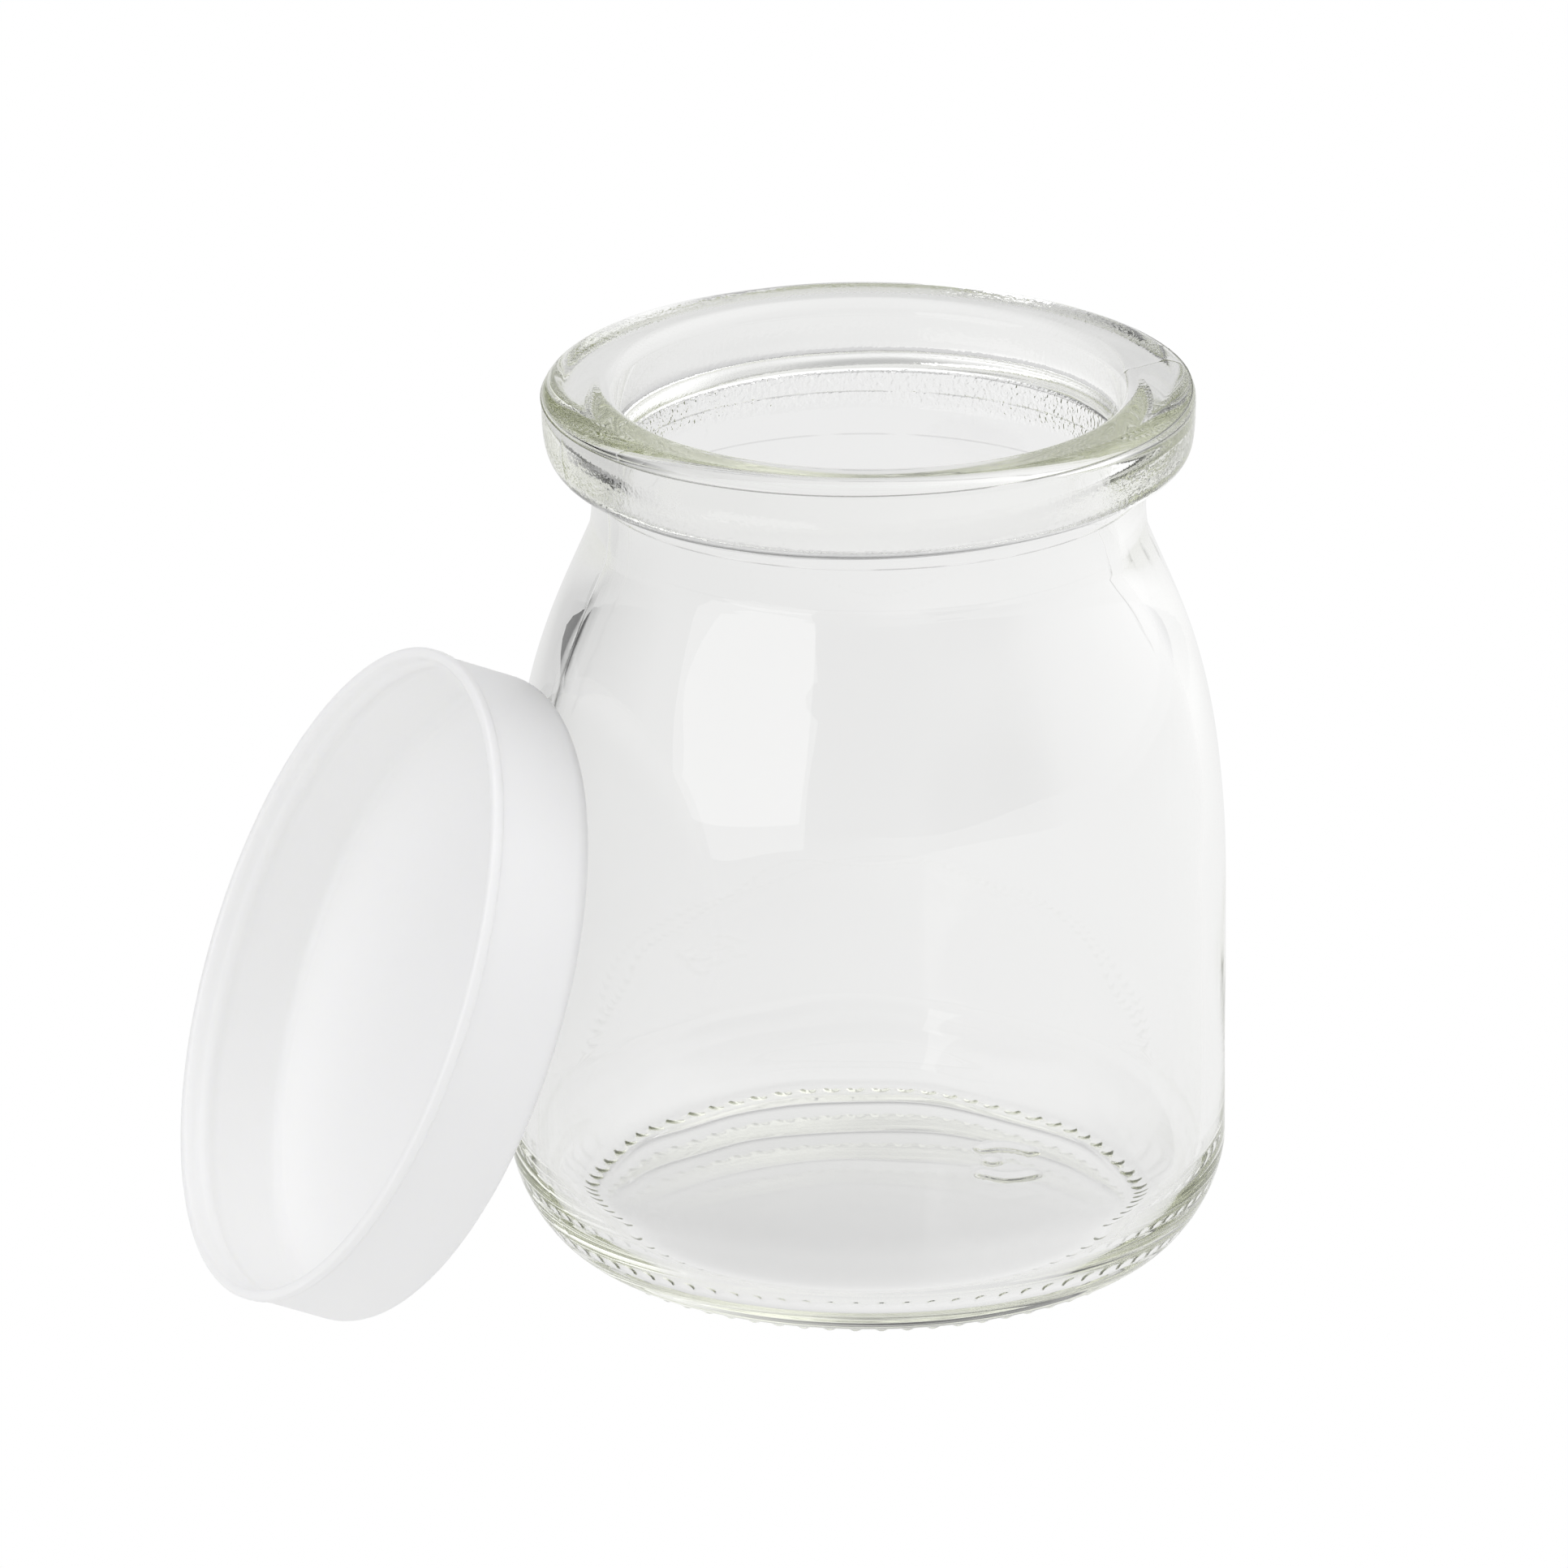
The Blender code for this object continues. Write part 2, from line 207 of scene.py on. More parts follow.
def jarOutline(d):
    # from the axis under the base, up the outside, over the rim and down the inside to the floor's centre
    slope = np.array([d["shoulderTopSlope"], 1.0]) * d["shoulderEaseHigh"]
    wallUp = np.array([d["wallTopR"] - d["bodyR"], d["wallTopZ"] - d["heelTopZ"]])
    wallUp *= d["shoulderEaseLow"] / np.linalg.norm(wallUp)
    wallTop = np.array([d["wallTopR"], d["wallTopZ"]])
    shoulderTop = np.array([d["shoulderTopR"], d["shoulderTopZ"]])
    neckTop = np.array([d["neckTopR"], d["neckTopZ"]])
    ledge = np.array([d["ledgeR"], d["ledgeZ"]])
    beadSide = np.array([d["beadR"], d["beadWidestZ"]])
    beadCorner = np.array([d["beadCornerR"], d["rimZ"]])
    land = np.array([d["landInnerR"], d["landInnerZ"]])
    throatTop = np.array([d["throatTopR"], d["throatTopZ"]])
    throat = np.array([d["throatR"], d["throatZ"]])
    innerR = d["bodyR"] - d["wall"]
    innerShoulder = np.array([d["wallTopR"] - d["wall"], d["wallTopZ"]])

    t = np.linspace(0, 1, 60)
    marks = {}
    parts = []

    def up(height):
        return np.array([0, height])

    def add(name, points):
        parts.append(np.atleast_2d(points))
        marks[name] = sum(len(p) for p in parts) - 1

    add("dish", np.stack([d["undersideDishR"] * t, d["baseZ"] + d["undersideRise"] * (1 - t * t)], 1))
    add("heelStart", (d["heelStartR"], d["baseZ"]))
    add("heel", roundCorner((d["heelStartR"], d["baseZ"]), (d["bodyR"], d["heelTopZ"]), d["heelFullness"], 60))
    add("wall", wallTop)
    add("shoulder", bezier(wallTop, wallTop + wallUp, shoulderTop - slope, shoulderTop, 80))
    neckLow = (d["neckR"], d["shoulderTopZ"] + d["neckEase"])
    neckHigh = (d["neckR"], d["neckTopZ"] - d["neckEase"])
    add("neck", bezier(shoulderTop, neckLow, neckHigh, neckTop, 40))
    add("ledge", ledge)
    ledgeOut, sideLow = ledge + np.array(d["ledgeEase"]), beadSide - up(d["beadSideEase"])
    add("beadUnder", bezier(ledge, ledgeOut, sideLow, beadSide, 60))
    overOut, overUp = d["beadTopEase"]
    cornerOut = beadCorner + np.array([overOut, 0])
    add("beadOver", bezier(beadSide, beadSide + up(overUp), cornerOut, beadCorner, 40))
    add("land", land)
    add("lip", bezier(land, land - np.array(d["lipEase"]), throatTop + up(d["throatTopEase"]), throatTop, 30))
    add("throat", throat)
    throatLow, wallHigh = throat - up(d["throatEase"]), innerShoulder + up(d["innerWallEase"])
    add("innerShoulder", bezier(throat, throatLow, wallHigh, innerShoulder, 80))
    add("innerWall", (innerR, d["innerHeelTopZ"]))
    floorEdge = (d["floorFlatR"], d["floorEdgeZ"])
    heel = roundCorner(floorEdge, (innerR, d["innerHeelTopZ"]), d["innerHeelFullness"], 60)
    add("innerHeel", np.vstack([heel[::-1][1:], [floorEdge]]))
    outward = 1 - t[1:]
    floorRise = d["floorZ"] + (d["floorEdgeZ"] - d["floorZ"]) * outward ** 2
    add("floor", np.stack([d["floorFlatR"] * outward, floorRise], 1))
    points = np.vstack(parts)
    along = np.concatenate([[0], np.cumsum(np.linalg.norm(np.diff(points, axis=0), axis=1))])
    return points, along, {name: along[i] for name, i in marks.items()}


def rowPositions(along, marks):
    # distances along the outline where the mesh has a row: close in the curved zones, wide on the walls
    zones = [
        (0.0, marks["dish"] - 17.5, 1.2), (marks["dish"] - 17.5, marks["dish"] - 4.0, 0.42),
        (marks["dish"] - 4.0, marks["dish"] - 0.6, 0.6), (marks["dish"] - 0.6, marks["heelStart"] + 2.4, 0.21),
        (marks["heelStart"] + 2.4, marks["heel"], 0.6), (marks["heel"], marks["wall"], 2.0),
        (marks["wall"], marks["shoulder"], 1.3), (marks["shoulder"], marks["neck"] - 2.4, 0.13),
        (marks["neck"] - 2.4, marks["neck"] - 0.9, 0.05), (marks["neck"] - 0.9, marks["neck"] - 0.2, 0.2),
        (marks["neck"] - 0.2, marks["neck"] + 0.2, 0.05), (marks["neck"] + 0.2, marks["beadUnder"] - 0.1, 0.4),
        (marks["beadUnder"] - 0.1, marks["beadUnder"] + 1.1, 0.05),
        (marks["beadUnder"] + 1.1, marks["beadOver"], 0.3), (marks["beadOver"], marks["land"], 0.5),
        (marks["land"], marks["lip"], 0.2), (marks["lip"], marks["throat"], 0.8),
        (marks["throat"], marks["innerShoulder"], 1.2), (marks["innerShoulder"], marks["innerWall"], 1.8),
        (marks["innerWall"], marks["innerHeel"], 0.6), (marks["innerHeel"], along[-1], 1.4),
    ]
    rows = [np.array([0.0])]
    for start, end, step in zones:
        rows.append(np.linspace(start, end, max(2, round((end - start) / step)) + 1)[1:])
    return np.concatenate(rows)


def columnAngles(d, split):
    # even columns, with a few more beside each side seam
    even = np.arange(d["columns"]) * 2 * math.pi / d["columns"]
    extra = []
    for azimuth in seams["sideAzimuths"]:
        for offset in (-0.8, -0.4, 0.0, 0.4, 0.8):
            extra.append(math.radians(azimuth + offset * 0.7) % (2 * math.pi))
    gap = 2 * math.pi / d["columns"] * 0.25
    keep = [a for a in even if min(abs((a - e + math.pi) % (2 * math.pi) - math.pi) for e in extra) > gap]
    coarse = np.array(sorted(keep + extra))
    nextOne = np.append(coarse[1:], coarse[0] + 2 * math.pi)
    t = np.arange(split) / split
    return coarse, (coarse[:, None] + (nextOne - coarse)[:, None] * t).ravel()


def angleBetween(a, b):
    return (a - b + math.pi) % (2 * math.pi) - math.pi


def knurlRelief(s, a, r, marks):
    pitch = 2 * math.pi / knurl["count"]
    beside = ((a / pitch) % 1 - 0.5) * pitch * knurl["radius"]
    reach = np.hypot((r - knurl["radius"]) / (knurl["length"] / 2), beside / (knurl["width"] / 2))
    crown = smoothBump(np.clip(reach, 0, 1) ** knurl["crown"])
    return np.where(s < marks["heel"], knurl["proud"] * crown, 0)


def markRelief(s, x, y, marks):
    cx, cy = mouldMark["centre"]
    half = mouldMark["barLength"] / 2
    crowns = np.zeros_like(s)
    for side in (-1, 1):
        t = np.clip((x - cx) / half, -1, 1)
        middleY = cy + side * (mouldMark["barsApart"] / 2 + mouldMark["barBow"] * (1 - t * t))
        away = np.hypot(x - (cx + t * half), y - middleY)
        crowns += smoothBump(away / mouldMark["barWidth"])
    away = np.hypot(x - (cx - half + mouldMark["dotR"]), y - cy)
    crowns += smoothBump(away / (mouldMark["dotSpread"] * mouldMark["dotR"]))
    return np.where(s < marks["dish"], mouldMark["proud"] * crowns, 0)


def seamDistances(s, a, r, z, beadSeam, marks):
    # how far each point is from each line round the jar, and from the two seams up its sides
    farAway = 9.0
    onNeck = (s > marks["shoulder"]) & (s < marks["neck"])
    distances = {
        "bead": beadSeam, "corner": s - marks["neck"],
        "neckLine": np.where(onNeck, z - seams["neckLineZ"], farAway),
        "lowLine": np.where(onNeck, z - seams["lowLineZ"], farAway),
    }
    onSide = (s < marks["beadOver"]) & (s > marks["heelStart"] + 2)
    sides = []
    for azimuth in seams["sideAzimuths"]:
        sides.append(np.where(onSide, angleBetween(a, math.radians(azimuth)) * r, farAway))
    return distances, sides


def seamRelief(distances, sides, atBack, z):
    raised = seams["beadHeight"] * smoothBump(distances["bead"] / seams["beadHalfWidth"])
    raised += seams["cornerHeight"] * smoothBump(distances["corner"] / seams["cornerHalfWidth"])
    raised += seams["neckLineHeight"] * smoothBump(distances["neckLine"] / seams["neckLineHalfWidth"])
    raised += seams["lowLineHeight"] * atBack * smoothBump(distances["lowLine"] / seams["lowLineHalfWidth"])
    shown = np.clip((z - seams["sideFromZ"]) / seams["sideFade"], seams["sideLeast"], 1)
    for offset in sides:
        raised += seams["sideHeight"] * shown * smoothBump(offset / seams["sideHalfWidth"])
    return raised


def onLine(distance, place, depth, halfWidth, share, size, seed):
    # a thin grey line that breaks off here and there: share 1 leaves hardly a gap, and 0.4 shows about half of it
    streaks = np.clip((slowWaves(place, size, seed) + share * 2.4 - 1.0) / 0.5, 0, 1)
    return depth * streaks * smoothBump(distance / halfWidth)


# painted shade: how dark the glass colour is painted along each seam line, in place of the dark that refraction
# shows there
def paintedSeamShadeDepth(distances, sides, atBack, place, z):
    grey = np.zeros_like(z)
    for name, distance in distances.items():
        line = onLine(distance, place, *graphite[name])
        grey = np.maximum(grey, line * atBack if name == "lowLine" else line)
    low, high = graphite["sideBetweenZ"]
    for offset in sides:
        line = onLine(offset + waves(place, graphite["sideRagged"]), place, *graphite["side"])
        grey = np.maximum(grey, np.where((z > low) & (z < high), line, 0))
    return grey


def skinDepth(s, a, z, place, marks):
    plan = mouldSkin
    onBead = np.clip((s - marks["ledge"]) / plan["fade"], 0, 1)
    onBead *= np.clip((plan["beadTopZ"] - z) / plan["fade"], 0, 1)
    belowCorner = np.clip((marks["neck"] + plan["cornerFade"] - s) / plan["cornerFade"], 0, 1)
    onNeck = np.clip((z - plan["lowZ"]) / plan["fade"], 0, 1) * belowCorner
    onNeck *= np.clip(plan["atSides"] + plan["toBack"] * np.sin(a) + waves(place, plan["patches"]), 0, 1)
    return np.maximum(onNeck, plan["beadShare"] * onBead)


def jarPoints(d, rows, angles, points, along, marks):
    # the place of each row at each angle, with the relief of the mould and the unevenness of the glass,
    # and how much painted seam shade and how much pebbled skin is there
    s = rows[:, None] + 0 * angles[None, :]
    a = angles[None, :] + 0 * s
    # the bead's seam runs slightly uphill to the right, and the mesh rows follow it
    seamS = marks["beadUnder"] + (seams["beadZ"] - d["beadWidestZ"])
    seamRise = seams["beadTilt"] * d["beadR"] * np.cos(a)
    s = s + seamRise * smoothBump((s - seamS) / seams["beadTiltReach"])
    r = np.interp(s, along, points[:, 0])
    z = np.interp(s, along, points[:, 1])
    # the outline's outward direction
    step = 0.05
    dr = np.interp(s + step, along, points[:, 0]) - np.interp(s - step, along, points[:, 0])
    dz = np.interp(s + step, along, points[:, 1]) - np.interp(s - step, along, points[:, 1])
    length = np.hypot(dr, dz) + 1e-9
    outR, outZ = dz / length, -dr / length
    outside = s < marks["beadOver"]
    inside = s > marks["land"]
    x, y = r * np.cos(a), r * np.sin(a)
    place = np.stack([x, y, z], -1)

    beadSeam = s - seamS - seamRise
    distances, sides = seamDistances(s, a, r, z, beadSeam, marks)
    atBack = np.clip(seams["lowLineAtSides"] + seams["lowLineToBack"] * np.sin(a), seams["lowLineAtSides"], 1)

    raised = knurlRelief(s, a, r, marks) + markRelief(s, x, y, marks)
    raised += seamRelief(distances, sides, atBack, z)
    raised += np.where(outside & (s > marks["heel"]), waves(place, glassWaves["outside"]), 0)
    least = glassWaves["floorLeast"]
    aboveFloor = np.clip((marks["innerHeel"] - s) / glassWaves["floorFade"] + least, least, 1)
    unevenness = np.clip((s - marks["lip"]) / glassWaves["lipFade"], 0, 1) * aboveFloor
    insideWaves = waves(place, glassWaves["insideLong"]) + waves(place, glassWaves["insideShort"])
    raised += np.where(inside, unevenness * insideWaves, 0)

    r = r + raised * outR
    tilted = np.clip((s - marks["innerWall"]) / d["floorTiltFade"], 0, 1)
    z = z + raised * outZ + d["floorTilt"] * r * np.sin(a) * tilted
    distances, sides = seamDistances(s, a, r, z, beadSeam, marks)
    # painted shade along the seams, kept as a mask that darkens the glass colour
    grey = np.where(outside, paintedSeamShadeDepth(distances, sides, atBack, place, z), 0)
    skin = np.where(outside, skinDepth(s, a, z, place, marks), 0)
    # the underside of the bead and the neck line run slightly uphill too
    start, reach, fade = seams["ledgeTiltZone"]
    ledge = np.clip((s - marks["neck"]) / start + 1, 0, 1) * np.clip((marks["neck"] + reach - s) / fade, 0, 1)
    line = smoothBump(s - (marks["neck"] - seams["neckLineBelow"])) * (1 - ledge)
    for lift, tilt in ((ledge, seams["ledgeTilt"]), (line, seams["neckLineTilt"])):
        z = z + np.where(outside, lift * r * (tilt[0] * np.cos(a) + tilt[1] * np.sin(a)), 0)
    return np.stack([r * np.cos(a), r * np.sin(a), z], -1), grey, skin


def stitch(rowCount, columns, firstIndex):
    # quads between rows of equal length that close round the axis
    i = np.arange(rowCount - 1)[:, None] * columns
    j = np.arange(columns)[None, :]
    k = (j + 1) % columns
    return (firstIndex + np.stack([i + j, i + k, i + columns + k, i + columns + j], -1)).reshape(-1, 4)


def makeJar(d):
    points, along, marks = jarOutline(d)
    rows = rowPositions(along, marks)
    coarse, fine = columnAngles(d, d["fineSplit"])
    split = d["fineSplit"]
    fineStart, fineEnd = marks["dish"] - 0.6, marks["heelStart"] + 2.4
    zones = [
        (rows[(rows > 0) & (rows < fineStart - 1e-6)], coarse),
        (rows[(rows >= fineStart - 1e-6) & (rows <= fineEnd + 1e-6)], fine),
        (rows[(rows > fineEnd + 1e-6) & (rows < along[-1] - 1e-6)], coarse),
    ]
    verts, faces, ends = [], [], []
    # masks: the painted seam shade, and where the pebbled skin is bumped
    masks = {"graphite": [], "mouldSkin": []}
    start = 0
    for zoneRows, angles in zones:
        grid, grey, skin = jarPoints(d, zoneRows, angles, points, along, marks)
        verts.append(grid.reshape(-1, 3))
        masks["graphite"].append(grey.ravel())
        masks["mouldSkin"].append(skin.ravel())
        faces += stitch(len(zoneRows), len(angles), start).tolist()
        ends.append((start, start + (len(zoneRows) - 1) * len(angles), len(angles)))
        start += grid.shape[0] * grid.shape[1]
    count = len(coarse)
    # each coarse cell fans out to the cells of the finer ring beside it
    for coarseRow, fineRow, flip in ((ends[0][1], ends[1][0], False), (ends[2][0], ends[1][1], True)):
        for j in range(count):
            a, b = coarseRow + j, coarseRow + (j + 1) % count
            f = [fineRow + (j * split + i) % (count * split) for i in range(split + 1)]
            half = split // 2
            fan = [[a, f[i + 1], f[i]] for i in range(half)] + [[a, b, f[half]]]
            fan += [[b, f[i + 1], f[i]] for i in range(half, split)]
            faces += [g[::-1] for g in fan] if flip else fan
    # both ends close on the axis
    bottom, top = start, start + 1
    verts.append(np.array([[0, 0, points[0, 1]], [0, 0, points[-1, 1]]]))
    lastRow = ends[2][1]
    for j in range(count):
        k = (j + 1) % count
        faces.append([bottom, ends[0][0] + k, ends[0][0] + j])
        faces.append([top, lastRow + j, lastRow + k])
    mesh = bpy.data.meshes.new("jarGlass")
    place = np.vstack(verts) * mm + np.array([jarAxis.x, jarAxis.y, 0.0])
    mesh.from_pydata(place.tolist(), [], faces)
    for name, values in masks.items():
        layer = mesh.attributes.new(name, "FLOAT", "POINT")
        atEnds = [0, 0]
        layer.data.foreach_set("value", np.append(np.concatenate(values), atEnds).astype(np.float32))
    mesh.validate()
    mesh.update()
    mesh.shade_smooth()
    glass = bpy.data.objects.new("jarGlass", mesh)
    bpy.context.scene.collection.objects.link(glass)
    return glass


lid = {
    "bodyR": 32.65, "height": 11.2, "wall": 0.9, "edgeR": 2.1,
    "lipR": 32.93, "lipHeight": 1.1, "lipCornerR": 0.28,
    "snapDepth": 2.2, "snapProud": 0.3, "snapHalf": 0.8,  # the inner ridge that grips the rim
    "mouthFromJar": (-52.03, -19.3), "heading": 18.7, "lean": 22.8,  # mm from the jar's axis, degrees
    "steps": 160,
}


def lidOutline(d):
    # mouth at z = 0 and closed face on top, from the middle of the inner face to the middle of the outer one
    innerR = d["bodyR"] - d["wall"]
    innerTop = d["height"] - d["wall"]
    edgeInner = d["edgeR"] - d["wall"]

    def corner(r, z, radius, angle):
        return np.stack([r + radius * np.cos(angle), z + radius * np.sin(angle)], 1)

    quarter = np.linspace(0, math.pi / 2, 9)
    parts = [
        np.stack([np.linspace(0, innerR - edgeInner, 18)[:-1], np.full(17, innerTop)], 1),
        corner(innerR - edgeInner, innerTop - edgeInner, edgeInner, quarter[::-1]),
        np.array([(innerR, d["snapDepth"] + 3.5), (innerR, d["snapDepth"] + 1.6)]),
    ]
    t = np.linspace(1, -1, 9)
    parts.append(np.stack([innerR - d["snapProud"] * (1 - t * t), d["snapDepth"] + d["snapHalf"] * t], 1))
    mouth = [(0.05, 0.9), (0.12, 0.3), (0.22, 0.05), (0.4, 0.0)]  # the rounded inner edge of the mouth
    parts.append(np.array([(innerR + outward, z) for outward, z in mouth]))
    small = d["lipCornerR"]
    short = np.linspace(0, math.pi / 2, 5)
    parts.append(corner(d["lipR"] - small, small, small, short - math.pi / 2))
    parts.append(corner(d["lipR"] - small, d["lipHeight"] - small, small, short))
    parts.append(np.array([(d["bodyR"], d["lipHeight"] + 0.15), (d["bodyR"], 3.0), (d["bodyR"], 6.0)]))
    parts.append(corner(d["bodyR"] - d["edgeR"], d["height"] - d["edgeR"], d["edgeR"], quarter))
    parts.append(np.stack([np.linspace(d["bodyR"] - d["edgeR"], 0, 18)[1:], np.full(17, d["height"])], 1))
    return np.vstack(parts)


def makeLid(d):
    outline = lidOutline(d)
    angles = np.arange(d["steps"]) * 2 * math.pi / d["steps"]
    ring = outline[1:-1]
    grid = np.stack([
        ring[:, :1] * np.cos(angles), ring[:, :1] * np.sin(angles), ring[:, 1:] + 0 * angles,
    ], -1)
    verts = grid.reshape(-1, 3).tolist()
    faces = stitch(len(ring), d["steps"], 0).tolist()
    first, last = len(verts), len(verts) + 1
    verts += [[0, 0, outline[0, 1]], [0, 0, outline[-1, 1]]]
    lastRow = (len(ring) - 1) * d["steps"]
    for j in range(d["steps"]):
        k = (j + 1) % d["steps"]
        faces.append([first, k, j])
        faces.append([last, lastRow + j, lastRow + k])
    turn = Euler((0, math.radians(90 + d["lean"]), math.radians(d["heading"]))).to_matrix()
    place = np.array(verts) @ np.array(turn).T * mm
    mouthX, mouthY = d["mouthFromJar"]
    place += np.array([jarAxis.x + mouthX * mm, jarAxis.y + mouthY * mm, lidLow.z - place[:, 2].min()])
    mesh = bpy.data.meshes.new("lidPlastic")
    mesh.from_pydata(place.tolist(), [], faces)
    mesh.validate()
    mesh.update()
    mesh.shade_smooth()
    made = bpy.data.objects.new("lidPlastic", mesh)
    bpy.context.scene.collection.objects.link(made)
    return made


def sodaLimeGlassMoulded():
    # soda-lime jar glass, pressed and blown in an iron mould: clear, a little olive where it is thick, with a
    # pebbled skin where the neck ring chilled it, and painted shade along its seams: dark grey lines in its
    # colour
    made = newMaterial("sodaLimeGlassMoulded")
    tree = made.node_tree
    place = addNode(tree, "ShaderNodeTexCoord")
    skin = addNode(tree, "ShaderNodeAttribute", {"attribute_name": "mouldSkin"})
    # grains of 0.5 mm
    grain = addNode(tree, "ShaderNodeTexNoise", Vector=(place, "Object"), Scale=2000.0, Detail=1.0)
    pebble = addNode(tree, "ShaderNodeMath", {"operation": "MULTIPLY"}, i0=(grain, "Fac"), i1=(skin, "Fac"))
    bump = addNode(tree, "ShaderNodeBump", Strength=1.0, Distance=0.00025, Height=(pebble, "Value"))
    # painted shade: the seam mask mixes dark grey into the glass colour, which darkens the light through those
    # lines
    grey = addNode(tree, "ShaderNodeAttribute", {"attribute_name": "graphite"})
    tint = addNode(
        tree, "ShaderNodeMix", {"data_type": "RGBA"},
        i0=(grey, "Fac"), i6=linearFromHex("#ffffff"), i7=linearFromHex("#3c3c36"),
    )
    shader = addNode(
        tree, "ShaderNodeBsdfPrincipled", Base_Color=(tint, 2), Roughness=0.0, IOR=1.52,
        Transmission_Weight=1.0, Normal=(bump, "Normal"),
    )
    # iron in the sand takes a little blue and red; density is per metre
    absorb = addNode(tree, "ShaderNodeVolumeAbsorption", Color=linearFromHex("#e6e8d8"), Density=10.0)
    addNode(tree, "ShaderNodeOutputMaterial", Surface=(shader, "BSDF"), Volume=(absorb, "Volume"))
    return made


def polyethyleneMoulded():
    # natural low-density polyethylene, injection moulded: milky, soft sheen, lets light through
    made = newMaterial("polyethyleneMoulded")
    tree = made.node_tree
    place = addNode(tree, "ShaderNodeTexCoord")
    # grains of about 1 mm, the satin of the mould
    grain = addNode(tree, "ShaderNodeTexNoise", Vector=(place, "Object"), Scale=900.0, Detail=2.0)
    bump = addNode(tree, "ShaderNodeBump", Strength=0.05, Distance=0.0002, Height=(grain, "Fac"))
    shader = addNode(
        tree, "ShaderNodeBsdfPrincipled", Base_Color=linearFromHex("#fbfbfa"), Roughness=0.4, IOR=1.5,
        Subsurface_Weight=1.0, Subsurface_Radius=(1.0, 1.0, 0.95), Subsurface_Scale=0.0015,
        Normal=(bump, "Normal"),
    )
    addNode(tree, "ShaderNodeOutputMaterial", Surface=(shader, "BSDF"))
    return made


studio = {
    "floorHalf": 4.0, "floorColour": "#ffffff",
    # brightness of the table to each side, at this distance in metres
    "floorRight": 1.0, "floorLeft": 0.68, "floorSpread": 0.32,
    "sky": 0.78, "skyColour": "#fcfcfd",
    # soft brighter and darker parts of the room: azimuth from straight ahead towards the right, height and
    # half width in degrees, gain
    "patches": [
        (70, 25, 34, 0.50), (0, 90, 34, 0.30), (-34, 2, 12, -0.45), (-24, 34, 20, -0.45), (-45, 18, 30, -0.25),
        (8, 34, 14, -0.35), (0, 22, 18, -0.15), (138, 2, 18, -0.40), (180, 24, 25, -0.25), (62, 55, 22, 0.35),
        (-75, 55, 24, 0.32), (-110, 50, 22, 0.12), (-70, 6, 16, -0.20),
    ],
    # the large soft box that stands to the left of the camera
    "box": {
        "corners": [(-158, 0), (-159, 30), (-100, 30), (-116, -4)],  # azimuth and height in degrees
        "distance": 1.3, "above": 0.06, "radiance": 1.6,
    },
}


def heading(azimuth, elevation):
    # azimuth from straight ahead of the camera towards its right
    flat = math.cos(math.radians(elevation))
    return Vector((
        math.sin(math.radians(azimuth)) * flat,
        math.cos(math.radians(azimuth)) * flat,
        math.sin(math.radians(elevation)),
    ))


def makeFloor(plan):
    half = plan["floorHalf"]
    mesh = bpy.data.meshes.new("floor")
    corners = [(-half, -half, 0), (half, -half, 0), (half, half, 0), (-half, half, 0)]
    mesh.from_pydata(corners, [], [(0, 1, 2, 3)])
    floor = bpy.data.objects.new("floor", mesh)
    bpy.context.scene.collection.objects.link(floor)
    floor.location.z = -0.02 * mm  # just under the crowns that the jar stands on
    made = newMaterial("paleStudioTable")
    tree = made.node_tree
    place = addNode(tree, "ShaderNodeTexCoord")
    apart = addNode(tree, "ShaderNodeSeparateXYZ", Vector=(place, "Object"))
    tone = addNode(
        tree, "ShaderNodeMapRange", {"interpolation_type": "SMOOTHSTEP"}, i0=(apart, "X"),
        i1=-plan["floorSpread"], i2=plan["floorSpread"], i3=plan["floorLeft"], i4=plan["floorRight"],
    )
    # the table is plain where it is seen directly, and graded where it lights the glass
    path = addNode(tree, "ShaderNodeLightPath")
    level = addNode(tree, "ShaderNodeMapRange", i0=(path, "Is Camera Ray"), i3=(tone, "Result"), i4=1.0)
    colour = linearFromHex(plan["floorColour"])
    glow = addNode(tree, "ShaderNodeEmission", Color=colour, Strength=(level, "Result"))
    addNode(tree, "ShaderNodeOutputMaterial", Surface=(glow, "Emission"))
    mesh.materials.append(made)


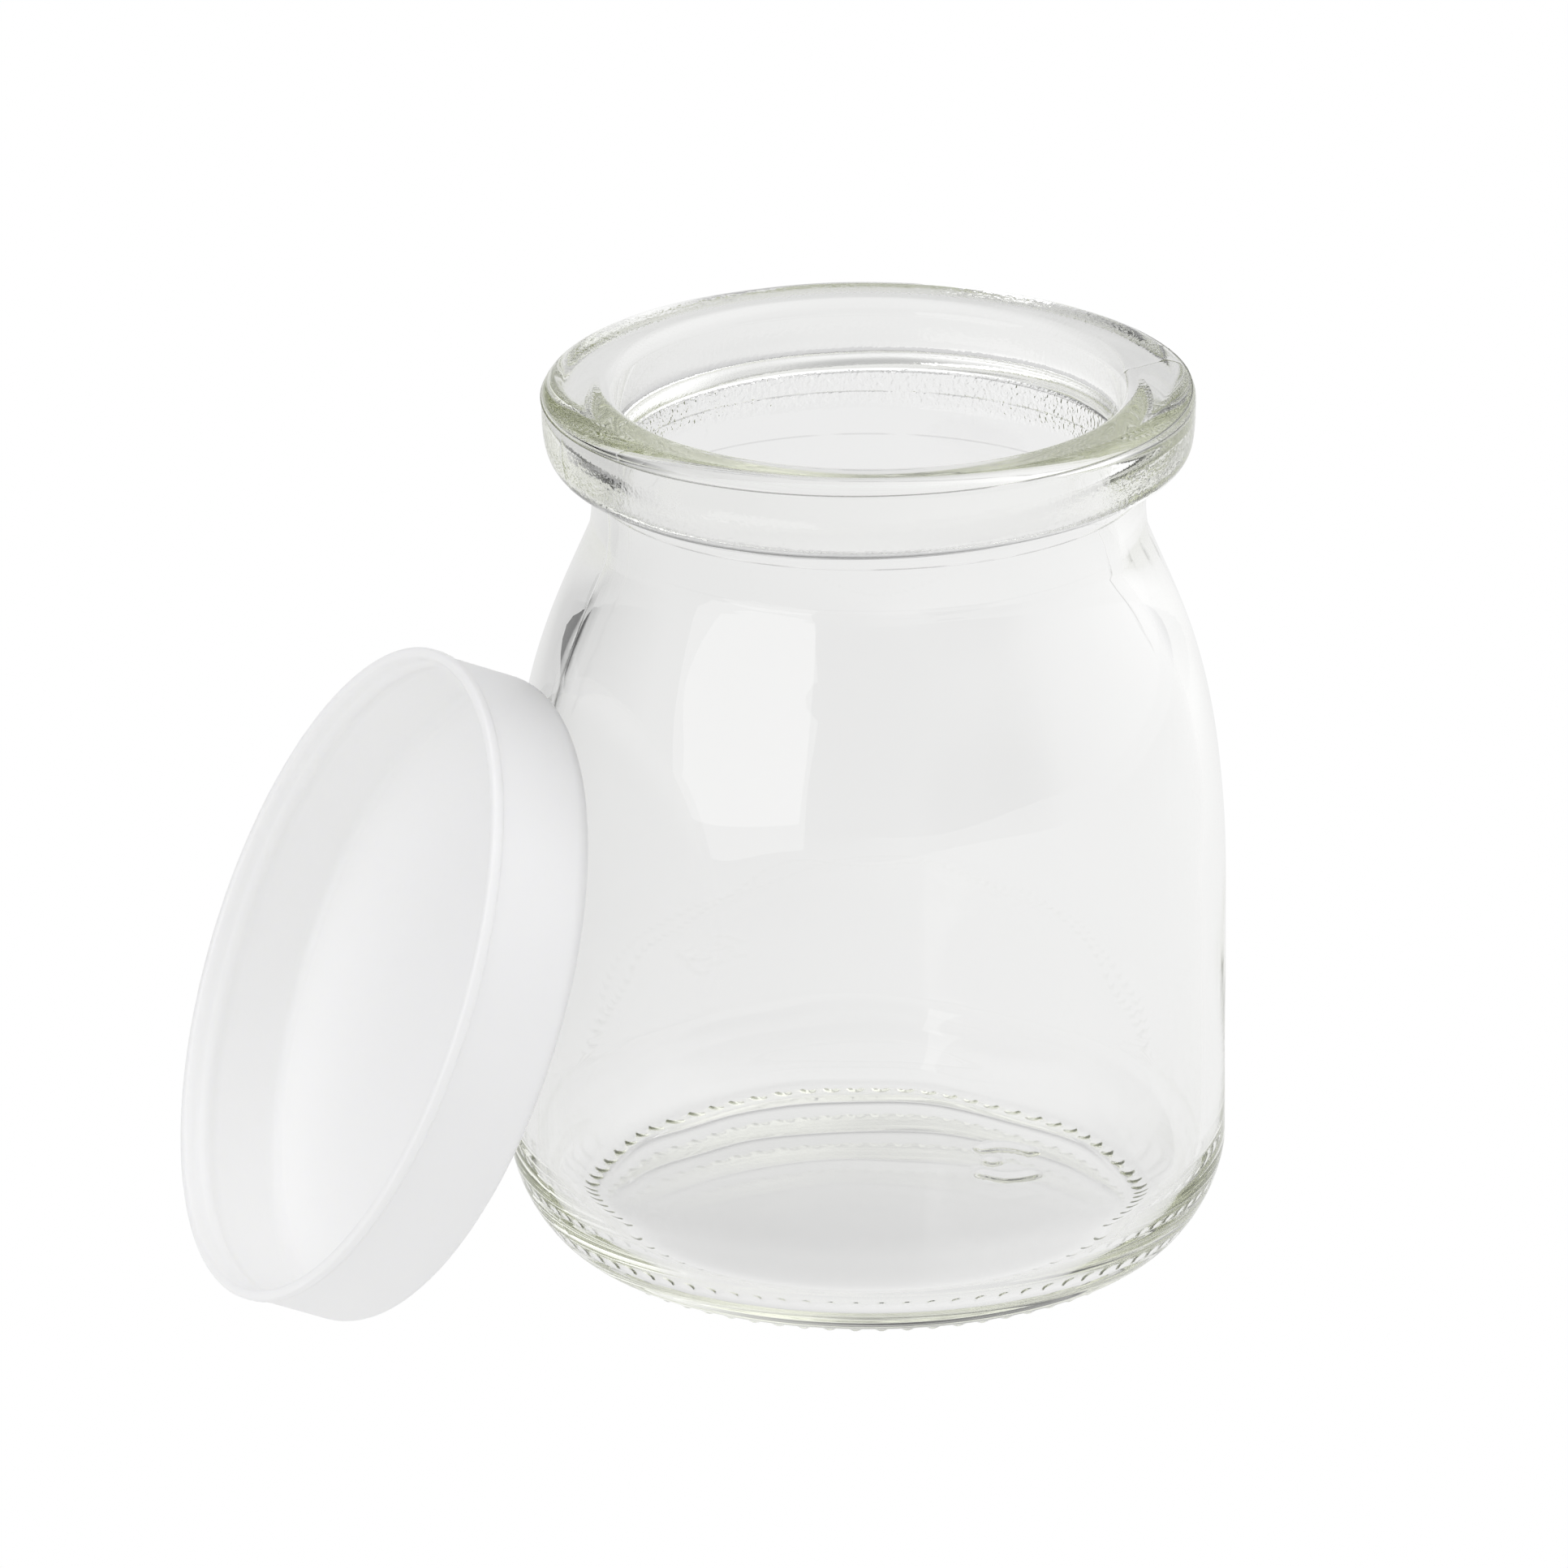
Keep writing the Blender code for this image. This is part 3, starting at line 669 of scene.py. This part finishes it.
def makeSky(plan):
    world = bpy.data.worlds.new("studio")
    world.use_nodes = True
    tree = world.node_tree
    tree.nodes.clear()
    direction = addNode(tree, "ShaderNodeTexCoord")
    total = plan["sky"]
    for azimuth, elevation, halfWidth, gain in plan["patches"]:
        near = addNode(
            tree, "ShaderNodeVectorMath", {"operation": "DOT_PRODUCT"},
            i0=(direction, "Generated"), i1=heading(azimuth, elevation),
        )
        lobe = addNode(
            tree, "ShaderNodeMapRange", {"interpolation_type": "SMOOTHSTEP"}, i0=(near, "Value"),
            i1=math.cos(math.radians(halfWidth * 1.6)), i2=1.0, i3=0.0, i4=gain,
        )
        total = (addNode(tree, "ShaderNodeMath", {"operation": "ADD"}, i0=total, i1=(lobe, "Result")), "Value")
    back = addNode(tree, "ShaderNodeBackground", Color=linearFromHex(plan["skyColour"]), Strength=total)
    addNode(tree, "ShaderNodeOutputWorld", Surface=(back, "Background"))
    bpy.context.scene.world = world


def makeSoftBox(plan):
    # its lower edge stands near the table, and its far edge leans
    corners = [
        Vector((jarAxis.x, jarAxis.y, plan["above"])) + heading(azimuth, elevation) * plan["distance"]
        for azimuth, elevation in plan["corners"]
    ]
    mesh = bpy.data.meshes.new("softBox")
    mesh.from_pydata([corner[:] for corner in corners], [], [(0, 1, 2, 3)])
    box = bpy.data.objects.new("softBox", mesh)
    bpy.context.scene.collection.objects.link(box)
    box.visible_camera = False
    made = newMaterial("softBoxCloth")
    glow = addNode(made.node_tree, "ShaderNodeEmission", Color=(1, 1, 1, 1), Strength=plan["radiance"])
    addNode(made.node_tree, "ShaderNodeOutputMaterial", Surface=(glow, "Emission"))
    mesh.materials.append(made)


makeFloor(studio)
makeSky(studio)
makeSoftBox(studio["box"])
bpy.context.scene.view_settings.view_transform = "Standard"
for bounces in ("max_bounces", "glossy_bounces", "transmission_bounces"):
    setattr(bpy.context.scene.cycles, bounces, 160)  # light runs far inside a thick glass rim
print("studio ready")

glass = makeJar(jar)
glass.data.materials.append(sodaLimeGlassMoulded())
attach(glass, "root")
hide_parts("jar")
print("jar made:", len(glass.data.polygons), "faces")

cap = makeLid(lid)
cap.data.materials.append(polyethyleneMoulded())
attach(cap, "root")
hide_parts("lid")
print("lid made:", len(cap.data.polygons), "faces")
